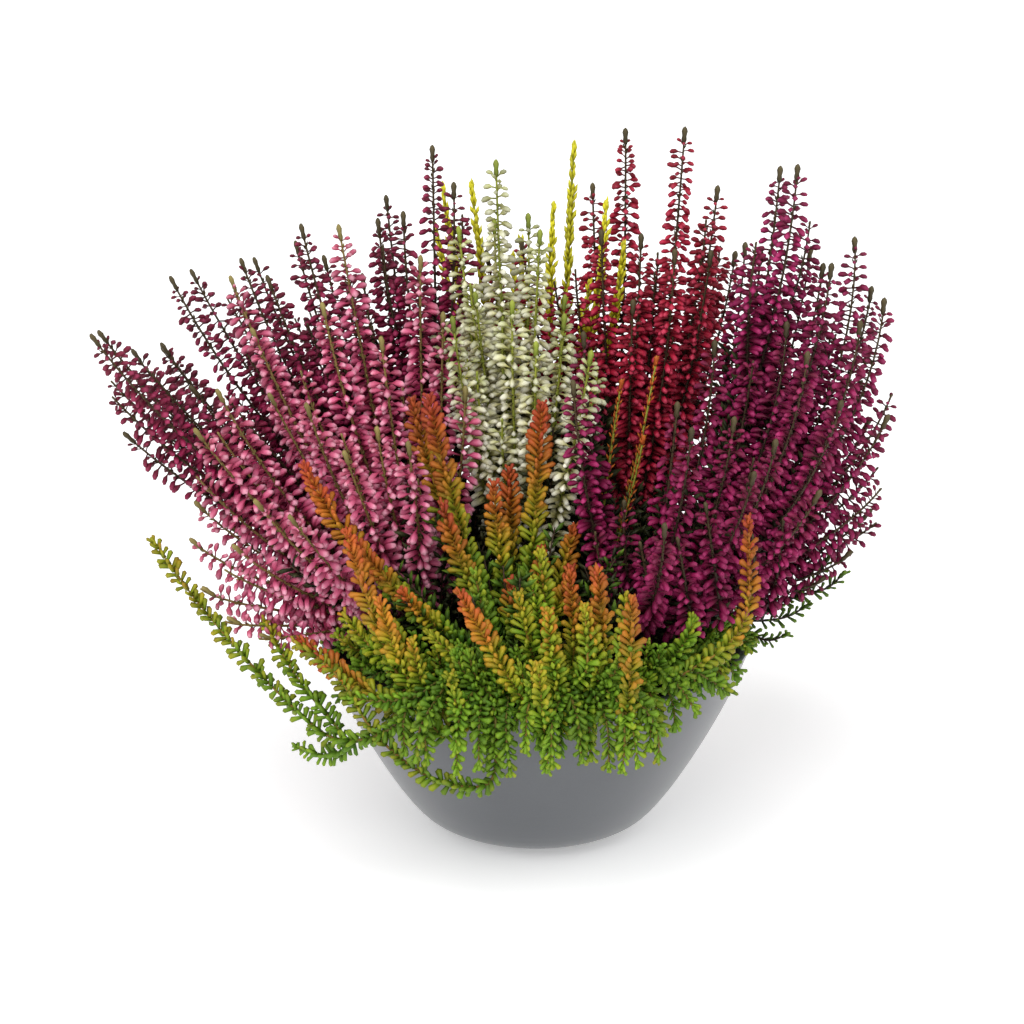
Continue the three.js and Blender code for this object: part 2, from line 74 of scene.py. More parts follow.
def turned(name, sides, outline, scale):
    """A closed round body: a disc extruded up its outline of (radius, height); a radius of 0 is a point."""
    (radius, height), *rest = outline
    bpy.ops.mesh.primitive_circle_add(vertices=sides, radius=radius * scale, fill_type="NGON")
    body = bpy.context.object
    body.name = name
    bpy.ops.object.mode_set(mode="EDIT")
    bpy.ops.transform.translate(value=(0, 0, height * scale))
    for next_radius, next_height in rest:
        lift = (0, 0, (next_height - height) * scale)
        bpy.ops.mesh.extrude_region_move(TRANSFORM_OT_translate={"value": lift})
        if next_radius == 0:
            bpy.ops.mesh.merge(type="CENTER")
            break
        spread = next_radius / radius
        bpy.ops.transform.resize(value=(spread, spread, 1), center_override=(0, 0, next_height * scale))
        radius, height = next_radius, next_height
    bpy.ops.mesh.select_all(action="SELECT")
    bpy.ops.mesh.normals_make_consistent(inside=False)
    bpy.ops.object.mode_set(mode="OBJECT")
    return body


bowl_outside = smooth_through(BOWL_OUTSIDE, 3)
bowl_inside = [
    (radius - BOWL_WALL, height) for radius, height in bowl_outside[::-2]
    if BOWL_INSIDE_FROM < height < BOWL_INSIDE_TO
]
bowl = turned("planter_bowl", BOWL_SIDES, [*bowl_outside, *BOWL_RIM, *bowl_inside, *BOWL_FLOOR], MM)
bpy.ops.object.shade_smooth_by_angle(angle=BOWL_SMOOTHING)


def new_group(name, inputs, outputs):
    """An empty node group with (name, kind) sockets, its nodes, its entry's outputs and its exit."""
    group = bpy.data.node_groups.new(name, "ShaderNodeTree")
    for direction, sockets in (("INPUT", inputs), ("OUTPUT", outputs)):
        for socket, kind in sockets:
            group.interface.new_socket(socket, in_out=direction, socket_type=f"NodeSocket{kind}")
    entry, leave = group.nodes.new("NodeGroupInput"), group.nodes.new("NodeGroupOutput")
    return group, group.nodes, entry.outputs, leave


def set_inputs(node, values):
    """Give a node's inputs values, or join them to other nodes' outputs."""
    for socket, value in values.items():
        if isinstance(value, bpy.types.NodeSocket):
            node.id_data.links.new(value, node.inputs[socket])
        else:
            node.inputs[socket].default_value = value


def new_node(nodes, kind, values, **settings):
    """A node of a kind with its settings, and with its inputs set or joined."""
    made = nodes.new(f"ShaderNode{kind}")
    for setting, value in settings.items():
        setattr(made, setting, value)
    set_inputs(made, values)
    return made


GRAIN_SHARE = 0.35


def speckle_group():
    """Fine uneven shade over a surface: soft clouds with small grains on them."""
    scales = [("Cloud Scale", "Float"), ("Grain Scale", "Float")]
    group, nodes, entry, leave = new_group("speckle", scales, [("Shade", "Float"), ("Grain", "Float")])
    place = new_node(nodes, "TexCoord", {}).outputs["Object"]
    cloud = new_node(nodes, "TexNoise", {"Detail": 4, "Scale": entry["Cloud Scale"], "Vector": place})
    grain = new_node(nodes, "TexNoise", {"Detail": 2, "Scale": entry["Grain Scale"], "Vector": place})
    clouds = {0: cloud.outputs["Fac"], 1: 1 - GRAIN_SHARE}
    part = new_node(nodes, "Math", clouds, operation="MULTIPLY")
    grains = {0: grain.outputs["Fac"], 1: GRAIN_SHARE, 2: part.outputs["Value"]}
    mix = new_node(nodes, "Math", grains, operation="MULTIPLY_ADD")
    set_inputs(leave, {"Shade": mix.outputs["Value"], "Grain": grain.outputs["Fac"]})
    return group


speckle = speckle_group()


def new_material(name, roughness, cloud_scale, grain_scale):
    """A material with its shader and a speckle node, which its own section then joins up."""
    material = bpy.data.materials.new(name)
    material.use_nodes = True
    nodes = material.node_tree.nodes
    shader = nodes["Principled BSDF"]
    set_inputs(shader, {"Roughness": roughness})
    scales = {"Cloud Scale": cloud_scale, "Grain Scale": grain_scale}
    return material, nodes, shader, new_node(nodes, "Group", scales, node_tree=speckle)


def grain_bump(nodes, shade, strength, distance):
    """The speckle's grains as a fine roughness of the surface."""
    values = {"Strength": strength, "Distance": distance, "Height": shade.outputs["Grain"]}
    return new_node(nodes, "Bump", values).outputs["Normal"]


SCREEN_WHITE = 255
SCREEN_GAMMA = 2.2


def seen(colour):
    """A shader colour from one given as red, green and blue on a screen."""
    return [*((part / SCREEN_WHITE) ** SCREEN_GAMMA for part in colour), 1]


def ramp(nodes, by, stops):
    """The colours of a ramp with (place, colour) stops, joined to the output it goes by."""
    made = new_node(nodes, "ValToRGB", {"Fac": by})
    elements = made.color_ramp.elements
    while len(elements) < len(stops):
        elements.new(0.5)
    for element, (place, colour) in zip(elements, stops):
        element.position = place
        element.color = seen(colour)
    return made.outputs["Color"]


bowl_finish, nodes, shader, shade = new_material(
    "grey_bowl", roughness=0.42, cloud_scale=26, grain_scale=900
)
uneven = {"Value": shade.outputs["Shade"], "To Min": 0.3, "To Max": 0.42}
set_inputs(shader, {
    "Base Color": ramp(nodes, shade.outputs["Shade"], [(0.3, (62, 65, 70)), (0.7, (71, 74, 79))]),
    "Roughness": new_node(nodes, "MapRange", uneven).outputs["Result"],
    "Normal": grain_bump(nodes, shade, strength=0.12, distance=0.0002),
    "Coat Weight": 0.7, "Coat Roughness": 0.35,
})
bowl.data.materials.append(bowl_finish)
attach(bowl, "root")
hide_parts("bowl")

# Soil. Damp dark potting soil, pressed in by hand to just below the rim and heaped a little in the
# middle, with loose crumbs of bark and peat lying on it.
SOIL_EDGE = 78
SOIL_HEAP = 2.6
SOIL_RADIUS = 87
SOIL_SIDES = 96
SOIL_BELOW = [(30, 4.6), (38.5, 10), (63.6, 34), (83, 67), (SOIL_RADIUS, SOIL_EDGE - 1)]
SOIL_TOP_RINGS = 24
SOIL_MIDDLE = 3
CRUMBS = 360
CRUMB_REACH = 84
CRUMB_LIFT = 0.2
CRUMB_LENGTHS = 1.2, 3.4
CRUMB_GIRTHS = 1, 2.2
CRUMB_UNEVEN = 0.75, 1.25


def soil_height(radius):
    """The height of the heaped soil at a radius."""
    return SOIL_EDGE + SOIL_HEAP * np.sin((1 - radius / SOIL_RADIUS) * math.pi / 2)


top_rings = np.linspace(SOIL_RADIUS, SOIL_MIDDLE, SOIL_TOP_RINGS + 1)[1:]
soil_top = [(radius, soil_height(radius)) for radius in top_rings]
soil = turned("potting_soil", SOIL_SIDES, [*SOIL_BELOW, *soil_top], MM)
bpy.ops.object.shade_smooth()
top = soil.vertex_groups.new(name="top")
top.add([v.index for v in soil.data.vertices if v.co.z > SOIL_EDGE * MM], 1, "REPLACE")
clods = bpy.data.textures.new("clods", "CLOUDS")
clods.noise_scale = 0.007
clods.noise_depth = 3
heave = soil.modifiers.new("heave", "DISPLACE")
heave.texture = clods
heave.vertex_group = "top"
heave.strength = 0.0042
heave.mid_level = 0.6
bpy.ops.object.modifier_apply(modifier="heave")


def read_shape(obj):
    """The points and triangles of a small modelled shape, in its own unit size; the object is removed."""
    mesh = obj.data
    mesh.calc_loop_triangles()
    points = np.array([v.co for v in mesh.vertices])
    faces = np.array([t.vertices for t in mesh.loop_triangles])
    bpy.data.objects.remove(obj)
    bpy.data.meshes.remove(mesh)
    return points, faces


def unit(v):
    """A direction, or a row of them, made one long."""
    return v / np.linalg.norm(v, axis=-1, keepdims=True)


def scatter(shape, at, along, up, length, girth, chance, age):
    """Copies of a shape that points along +Z: each has its place, direction, size and two tone values."""
    points, faces = shape
    along = unit(along)
    side = unit(np.cross(up, along))
    other = np.cross(along, side)
    x, y, z = (points[None, :, k, None] for k in range(3))
    girth = np.reshape(girth, (-1, 1, 1))
    made = at[:, None] + side[:, None] * x * girth + other[:, None] * y * girth
    made = made + along[:, None] * z * np.reshape(length, (-1, 1, 1))
    n, m = len(at), len(points)
    tone = np.ones((n, m, 4))
    tone[..., 0] = points[:, 2] / points[:, 2].max()
    tone[..., 1] = np.reshape(chance, (-1, 1))
    tone[..., 2] = np.reshape(age, (-1, 1))
    corners = faces[None] + (np.arange(n) * m)[:, None, None]
    return made.reshape(-1, 3), corners.reshape(-1, 3), tone.reshape(-1, 4)


def build_mesh(name, parts, finishes, slot, *nodes):
    """One object from (points, triangles, tones, finish number) parts, in millimetres, in place of nodes."""
    starts = np.cumsum([0] + [len(part[0]) for part in parts])
    points = np.concatenate([part[0] for part in parts]) * MM
    faces = np.concatenate([part[1] + start for part, start in zip(parts, starts)])
    tones = np.concatenate([part[2] for part in parts])
    finish = np.concatenate([np.full(len(part[1]), part[3]) for part in parts])
    mesh = bpy.data.meshes.new(name)
    mesh.vertices.add(len(points))
    mesh.vertices.foreach_set("co", points.ravel())
    mesh.loops.add(faces.size)
    mesh.loops.foreach_set("vertex_index", faces.ravel())
    mesh.polygons.add(len(faces))
    mesh.polygons.foreach_set("loop_start", np.arange(0, faces.size, 3))
    mesh.update(calc_edges=True)
    mesh.polygons.foreach_set("material_index", finish)
    mesh.polygons.foreach_set("use_smooth", np.ones(len(faces), bool))
    mesh.attributes.new("tone", "FLOAT_COLOR", "POINT").data.foreach_set("color", tones.ravel())
    for material in finishes:
        mesh.materials.append(material)
    mesh.validate()
    made = bpy.data.objects.new(name, mesh)
    bpy.context.collection.objects.link(made)
    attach(made, "root")
    if nodes:
        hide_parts(*nodes)


chances = np.random.default_rng(11)
bpy.ops.mesh.primitive_ico_sphere_add(subdivisions=1, radius=0.5)
crumb = read_shape(bpy.context.object)
crumb[0][:] *= chances.uniform(*CRUMB_UNEVEN, crumb[0].shape)
turn = chances.uniform(0, 2 * math.pi, CRUMBS)
reach = CRUMB_REACH * np.sqrt(chances.uniform(0, 1, CRUMBS))
crumb_places = np.stack([np.cos(turn) * reach, np.sin(turn) * reach, soil_height(reach) + CRUMB_LIFT], 1)
crumb_parts = scatter(
    crumb, crumb_places, chances.normal(size=(CRUMBS, 3)), chances.normal(size=(CRUMBS, 3)),
    length=chances.uniform(*CRUMB_LENGTHS, CRUMBS), girth=chances.uniform(*CRUMB_GIRTHS, CRUMBS),
    chance=chances.random(CRUMBS), age=0.5,
)
soil_finish, nodes, shader, shade = new_material(
    "damp_soil", roughness=0.95, cloud_scale=90, grain_scale=700
)
EARTH_COLOURS = [(0.3, (22, 15, 11)), (0.55, (46, 32, 23)), (0.75, (74, 54, 38))]
set_inputs(shader, {
    "Base Color": ramp(nodes, shade.outputs["Shade"], EARTH_COLOURS),
    "Normal": grain_bump(nodes, shade, strength=0.6, distance=0.0006),
})
soil.data.materials.append(soil_finish)
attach(soil, "root")
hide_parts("soil")
build_mesh("soil_crumbs", [(*crumb_parts, 0)], [soil_finish], "soil")

# Small parts of a heather. A floret is a blunt bud on a thin stalk, and the leaves are scales in four
# rows, which make knobbed side shoots and the blunt growing tip of each spike.
RING_SPARE = 0.001
STAGGER_IN, STAGGER_UP = 0.6, 0.15


def small_part(sides, outline, nod=0.0, stagger=0.0):
    """A shape of length 1 that points along +Z, from the (radius, height) of its rings.

    nod bends it over towards -Y. stagger pushes every other corner out and up and its neighbours in,
    turned by one corner from ring to ring, as rows of scale leaves do.
    """
    points, faces = read_shape(turned("small_part", sides, [*outline, (0, 1)], 1))
    corner = np.round(np.arctan2(points[:, 1], points[:, 0]) / (2 * math.pi / sides)).astype(int)
    for number, (radius, height) in enumerate(outline):
        on_ring = np.abs(points[:, 2] - height) < RING_SPARE
        out = on_ring & ((corner + number) % 2 == 0)
        points[on_ring & ~out, :2] *= 1 - stagger * STAGGER_IN
        points[out, :2] *= 1 + stagger
        points[out, 2] += stagger * STAGGER_UP
    points[:, 1] -= nod * np.clip(points[:, 2], 0, 2) ** 2
    return points, faces


stalked_bud = small_part(4, [(0.045, 0), (0.055, 0.34), (0.19, 0.6), (0.17, 0.88)], nod=0.2)
bud = small_part(4, [(0.07, 0), (0.19, 0.55), (0.17, 0.87)], nod=0.14)
slim_bud = small_part(4, [(0.08, 0), (0.14, 0.55)], nod=-0.1)
side_shoot = small_part(4, [(0.13, 0), (0.17, 0.8)], stagger=0.25)
leaf_bud = small_part(3, [(0.1, 0), (0.17, 0.6)])
leaflet = small_part(3, [(0.1, 0), (0.16, 0.5)], nod=-0.15)
growth_tip_rings = [(0.09, 0), (0.12, 0.2), (0.135, 0.45), (0.14, 0.7), (0.125, 0.92)]
growth_tip = small_part(4, growth_tip_rings, stagger=0.2)

# Finishes of the plants. Every point carries its tone: how far out on its floret or leaf it lies, a
# chance value of that floret, and how high on its spike it grows.


def tone_values_group():
    """The three tone values of a point."""
    outputs = [("Along", "Float"), ("Chance", "Float"), ("Age", "Float")]
    group, nodes, entry, leave = new_group("tone_values", [], outputs)
    tone = new_node(nodes, "Attribute", {}, attribute_name="tone")
    split = new_node(nodes, "SeparateColor", {"Color": tone.outputs["Color"]})
    set_inputs(leave, {name: channel for (name, kind), channel in zip(outputs, split.outputs)})
    return group


def tone_blend_group():
    """A colour that turns young towards the top of its spike and varies from floret to floret."""
    floats = [(name, "Float") for name in ("Young From", "Young Share", "Darkest", "Chance", "Age", "Shade")]
    inputs = [("Colour", "Color"), ("Young", "Color"), *floats]
    group, nodes, entry, leave = new_group("tone_blend", inputs, [("Colour", "Color")])
    near_top = new_node(nodes, "MapRange", {
        "From Min": entry["Young From"], "To Max": entry["Young Share"], "Value": entry["Age"],
    })
    young = new_node(nodes, "Mix", {
        "Factor": near_top.outputs["Result"], "A": entry["Colour"], "B": entry["Young"],
    }, data_type="RGBA")
    vary = new_node(nodes, "MapRange", {
        "To Min": entry["Darkest"], "To Max": 1.15, "Value": entry["Chance"],
    })
    mottle = new_node(nodes, "MapRange", {
        "From Min": 0.3, "From Max": 0.7, "To Min": 0.85, "To Max": 1.12, "Value": entry["Shade"],
    })
    both = {0: vary.outputs["Result"], 1: mottle.outputs["Result"]}
    shade = new_node(nodes, "Math", both, operation="MULTIPLY")
    scaled = {0: young.outputs["Result"], "Scale": shade.outputs["Value"]}
    set_inputs(leave, {"Colour": new_node(nodes, "VectorMath", scaled, operation="SCALE").outputs["Vector"]})
    return group


tone_values = tone_values_group()
tone_blend = tone_blend_group()


def toned_material(name, stops, by, young, darkest):
    """A ramp of colours "Along" the floret or up the spike by its "Age"; young is (from, colour, share)."""
    material, nodes, shader, shade = new_material(name, roughness=0.62, cloud_scale=120, grain_scale=1500)
    tones = new_node(nodes, "Group", {}, node_tree=tone_values).outputs
    young_from, young_colour, young_share = young
    blend = new_node(nodes, "Group", {
        "Colour": ramp(nodes, tones[by], stops), "Young": seen(young_colour), "Young From": young_from,
        "Young Share": young_share, "Darkest": darkest, "Chance": tones["Chance"], "Age": tones["Age"],
        "Shade": shade.outputs["Shade"],
    }, node_tree=tone_blend)
    set_inputs(shader, {"Specular IOR Level": 0.3, "Base Color": blend.outputs["Colour"]})
    return material


# Floret colours run along each floret from its darker stalk and calyx at the foot to a pale tip. The pale
# tip is partly the bud's own lighter tip and partly a painted highlight.
FLORET_COLOURS = {
    "crimson": [(0, (46, 20, 22)), (0.4, (106, 14, 48)), (0.75, (142, 24, 70)), (1, (176, 60, 102))],
    "pink": [(0, (92, 40, 36)), (0.4, (178, 60, 98)), (0.75, (212, 104, 138)), (1, (242, 174, 194))],
    "white": [(0, (92, 86, 32)), (0.35, (192, 186, 122)), (0.7, (232, 228, 194)), (1, (250, 248, 230))],
    "red": [(0, (58, 22, 20)), (0.4, (138, 15, 40)), (0.75, (170, 27, 57)), (1, (200, 66, 92))],
    "magenta": [(0, (44, 18, 22)), (0.4, (102, 7, 50)), (0.75, (136, 14, 74)), (1, (170, 54, 106))],
    "golden": [(0, (140, 138, 26)), (0.5, (206, 200, 36)), (1, (228, 220, 66))],
    "amber": [(0, (96, 52, 18)), (0.5, (160, 82, 26)), (1, (190, 112, 38))],
}
YOUNG_COLOURS = {
    "crimson": (0.6, (74, 36, 32), 0.6), "pink": (0.75, (150, 84, 78), 0.4),
    "white": (0.65, (150, 158, 80), 0.65), "red": (0.75, (96, 34, 32), 0.5),
    "magenta": (0.7, (92, 38, 42), 0.5), "golden": (0.5, (222, 214, 50), 0.6),
    "amber": (0.5, (176, 80, 30), 0.6),
}
floret_finish = {
    colour: toned_material(f"{colour}_florets", stops, "Along", YOUNG_COLOURS[colour], darkest=0.55)
    for colour, stops in FLORET_COLOURS.items()
}
LEAF_COLOURS = {
    "dark": [(0, (24, 27, 13)), (0.6, (46, 50, 24)), (1, (70, 70, 38))],
    "deep": [(0, (40, 58, 14)), (0.6, (70, 98, 24)), (1, (104, 132, 38))],
    "brown": [(0, (42, 36, 23)), (0.6, (64, 56, 36)), (1, (88, 78, 52))],
    "tan": [(0, (80, 74, 40)), (0.6, (112, 102, 56)), (1, (142, 128, 76))],
    "green": [(0, (70, 84, 28)), (0.6, (112, 128, 44)), (1, (146, 156, 62))],
}
leaf_finish = {
    colour: toned_material(f"{colour}_leaves", stops, "Along", (0.6, stops[2][1], 0.5), darkest=0.7)
    for colour, stops in LEAF_COLOURS.items()
}
STEM_COLOURS = {
    "dark": [(0, (40, 29, 22)), (0.5, (60, 44, 32)), (1, (76, 62, 40))],
    "tan": [(0, (64, 48, 32)), (0.5, (104, 84, 48)), (1, (128, 108, 62))],
    "green": [(0, (90, 84, 40)), (0.5, (122, 128, 46)), (1, (146, 152, 58))],
    "warm": [(0, (80, 94, 34)), (0.25, (122, 96, 40)), (0.5, (168, 134, 44)), (1, (190, 110, 44))],
}
stem_finish = {
    colour: toned_material(f"{colour}_stems", stops, "Age", (0.6, stops[-1][1], 0.3), darkest=0.75)
    for colour, stops in STEM_COLOURS.items()
}
FOLIAGE_UP_THE_TWIG = [
    (0, (72, 112, 24)), (0.25, (114, 148, 34)), (0.46, (156, 154, 34)),
    (0.66, (186, 122, 36)), (0.84, (184, 90, 40)), (1, (168, 64, 44)),
]
YOUNG_FOLIAGE = 0.92, (172, 66, 44), 0.2
foliage_finish = toned_material(
    "foliage_leaves", FOLIAGE_UP_THE_TWIG, "Age", YOUNG_FOLIAGE, darkest=0.5
)

# Lines of growth. Each plant has a crown in the soil. Its sprays rise from it along a middle line, which
# forks into spikes. The frame's solids give the places of the tips. Low spikes at the edge, and upright
# ones in front, are listed one by one.
BRANCHING = 83.5
LOWEST_FORK = 100
FORK_DROP = 116
CROWNS = {
    "crimson": ((-42, 38), 0.35), "pink": ((-45, -10), 0.3), "white": ((-6, 6), 0.3),
    "golden": ((4, 52), 0.4), "red": ((40, 38), 0.5), "magenta_near": ((42, -26), 0.7),
    "magenta_far": ((58, 12), 0.75), "foliage": ((-8, -52), 0.35), "amber": ((20, -4), 0.3),
}
SPIKE_POINT_SIDES = 4
SPIKE_POINT_RADIUS = 1.1
SPIKE_POINT_SPARE = 0.04
SPIKE_STEPS = 16


def spike_tips(node):
    """The tips of a spray's spikes, which are the slim four-sided points of its solid."""
    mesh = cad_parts[node].data
    corners = np.array([v.co for v in mesh.vertices]) / MM
    points, number = np.unique(np.round(corners, 2), axis=0, return_inverse=True)
    faces = number.ravel()[np.array([p.vertices[:] for p in mesh.polygons])]
    tips = []
    for i, point in enumerate(points):
        around = np.setdiff1d(faces[(faces == i).any(axis=1)], [i])
        if len(around) != SPIKE_POINT_SIDES:
            continue
        edges = points[around] - point
        axis = unit(edges.mean(axis=0))
        radii = np.linalg.norm(edges - np.outer(edges @ axis, axis), axis=1)
        if axis[2] < 0 and np.abs(radii - SPIKE_POINT_RADIUS).max() < SPIKE_POINT_SPARE:
            tips.append(point)
    return np.array(tips)


def middle_line(plant, mean, z):
    """The flat places, at heights z, of the arching line from a plant's crown to a spray's mean tip."""
    crown, arch = CROWNS[plant]
    rise = np.maximum(0, (z - BRANCHING) / (mean[2] - BRANCHING))
    share = rise + arch * rise * (1 - rise)
    return np.array(crown) + (mean[:2] - crown) * share[..., None]


def spike_path(plant, mean, fork, tip):
    """The line of one spike from its spray's fork to its tip."""
    z = fork + (tip[2] - fork) * np.linspace(0, 1, SPIKE_STEPS)
    rise = (z - fork) / (tip[2] - fork)
    spread = 1 - (1 - rise) ** 2
    end = middle_line(plant, mean, np.array(tip[2]))
    flat = middle_line(plant, mean, z) + (tip[:2] - end) * spread[:, None]
    return np.column_stack([flat, z])


LOW_SPIKES = {
    "pink_spray_03": [
        (-148, -16, 156), (-150, -22, 141), (-136, -12, 146),
        (-145, -30, 121), (-134, -38, 109), (-119, -46, 104),
    ],
    "magenta_far_spray_05": [(148, 4, 146), (140, 2, 127), (128, -2, 116)],
}
UPRIGHT_SPIKES = {"magenta_near_spray_04": [
    [(66, -60, 108), (63, -66, 130), (58, -70, 158)], [(79, -54, 112), (75, -58, 138), (70, -60, 170)],
    [(48, -50, 108), (47, -56, 130), (43, -58, 152)], [(97, -34, 108), (103, -38, 130), (105, -38, 156)],
    [(88, -48, 112), (92, -50, 132), (91, -48, 152)],
]}
sprays = {}
for node in sorted(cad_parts):
    if "_spray_" not in node:
        continue
    plant = node.split("_spray_")[0]
    tips = spike_tips(node)
    mean = tips.mean(axis=0)
    fork = max(LOWEST_FORK, tips[:, 2].min() - FORK_DROP)
    low_tips = np.array(LOW_SPIKES.get(node, []))
    paths = [spike_path(plant, mean, fork, tip) for tip in [*tips, *low_tips]]
    paths += [smooth_through(points, 8) for points in UPRIGHT_SPIKES.get(node, [])]
    sprays[node] = {"plant": plant, "mean": mean, "fork": fork, "paths": paths}


FIRST_SIDE = 0.3, 0.93, 0.2


def measured(path):
    """A path with its running length and, at each point, its direction and two cross directions."""
    run = np.concatenate([[0], np.cumsum(np.linalg.norm(np.diff(path, axis=0), axis=1))])
    along = unit(np.gradient(path, axis=0))
    side = np.empty_like(path)
    side[0] = unit(np.cross(FIRST_SIDE, along[0]))
    for i in range(1, len(path)):
        side[i] = unit(side[i - 1] - along[i] * (side[i - 1] @ along[i]))
    return {"path": path, "run": run, "along": along, "side": side, "other": np.cross(along, side)}


def on_line(line, key, run):
    """A measured line's places or directions at the given running lengths."""
    return np.column_stack([np.interp(run, line["run"], line[key][:, k]) for k in range(3)])


def stem_part(line, thick, thin, sides, finish, chance=0.5, low=0.0, high=1.0):
    """A closed tapering stem along a line."""
    path, run = line["path"], line["run"]
    share = run / run[-1]
    radius = thick + (thin - thick) * share
    turn = np.arange(sides)[None, :, None] * 2 * math.pi / sides
    ring = np.cos(turn) * line["side"][:, None] + np.sin(turn) * line["other"][:, None]
    points = (path[:, None] + ring * radius[:, None, None]).reshape(-1, 3)
    points = np.concatenate([points, path[:1], path[-1:]])
    k = np.arange(sides)
    following = (k + 1) % sides
    faces = [np.column_stack([np.full(sides, len(points) - 2), following, k])]
    for i in range(len(path) - 1):
        a, b = i * sides, (i + 1) * sides
        faces.append(np.column_stack([a + k, a + following, b + following]))
        faces.append(np.column_stack([a + k, b + following, b + k]))
    last = (len(path) - 1) * sides
    faces.append(np.column_stack([last + k, last + following, np.full(sides, len(points) - 1)]))
    height = low + (high - low) * np.concatenate([np.repeat(share, sides), [0, 1]])
    tone = np.column_stack([height, np.full(len(height), chance), height, np.ones(len(height))])
    return points, np.concatenate(faces), tone, finish


PAIR = 2
PAIR_TWIST = 0.06
PAIR_SHIFT = 0.36
PAIR_TURN_JITTER = 0.16


def pairs(start, stop, pitch, rng):
    """Running lengths and turns of what grows round a stem in pairs, each across the one below it."""
    levels = max(1, int((stop - start) / pitch))
    level = np.arange(levels)
    run = start + (level + 0.5) * (stop - start) / levels
    turn = (level * (math.pi / PAIR + PAIR_TWIST))[:, None] + np.arange(PAIR) * 2 * math.pi / PAIR
    run = np.repeat(run, PAIR) + rng.uniform(-PAIR_SHIFT, PAIR_SHIFT, levels * PAIR) * pitch
    return run, turn.ravel() + rng.normal(0, PAIR_TURN_JITTER, levels * PAIR) + rng.uniform(0, 2 * math.pi)


def standing_out(line, run, turn, tilt, stem):
    """Where and which way a shape grows out of a stem: tilt is its angle from the stem's direction."""
    along = on_line(line, "along", run)
    radial = np.cos(turn)[:, None] * on_line(line, "side", run)
    radial = radial + np.sin(turn)[:, None] * on_line(line, "other", run)
    direction = np.cos(tilt)[:, None] * along + np.sin(tilt)[:, None] * radial
    return on_line(line, "path", run) + radial * stem * 0.5, direction, along


# Flowering spikes. A thin stem carries pairs of stalked buds, loose at the top and crowded and drooping
# below, with scale leaves between them, leafy shoots at its foot and a blunt leafy growing tip.
STEM, FLORETS, LEAVES, FOOT_LEAVES = 0, 1, 2, 3
STEM_THICK, STEM_THIN = 0.9, 0.5
STEM_SIDES = 3
GROWTH_TIP = 7.6
GROWTH_TIP_GIRTH = 8.6
GROWTH_TIP_MOST = 0.1
GROWTH_TIP_BARE = 0.85
TOP_STRETCH = 18
FLOWERS_FROM = 0.07
YOUNG_FLORET, GROWN_FLORET = 0.58, 0.42
FLORET_SIZES, FLORET_GIRTHS = (0.82, 1.14), (0.92, 1.16)
TILT_AT_TOP, TILT_GROWN, TILT_DROOPING, TILT_JITTER = 54, 30, 26, 14
DROOPING_TO = 0.3
LOOSE_FROM = 0.5
OWN_SHADE = 0.3
LEAFLET_PITCH, LEAFLET_TILT, LEAFLET_LENGTH, LEAFLET_GIRTH = 9, 0.6, 2.6, 3.0
FOOT_LEAVES_FROM, FOOT_LEAVES_PAST = 0.02, 6
FOOT_LEAF_PITCH, FOOT_LEAF_TILT, FOOT_LEAF_SIZES = 3.0, (55, 9), (5, 8)
SPIKE_FORMS = {
    "crimson": {"reach": 7.0, "pitch": 2.3, "crowded": 0.55, "stems": "dark", "leaves": "brown"},
    "pink": {"reach": 7.8, "pitch": 2.25, "crowded": 0.55, "stems": "tan", "leaves": "tan"},
    "white": {"reach": 7.4, "pitch": 2.3, "crowded": 0.55, "stems": "green", "leaves": "green"},
    "red": {"reach": 6.7, "pitch": 1.95, "crowded": 0.82, "stems": "dark", "leaves": "brown"},
    "magenta": {"reach": 7.1, "pitch": 2.15, "crowded": 0.55, "stems": "dark", "leaves": "brown"},
}


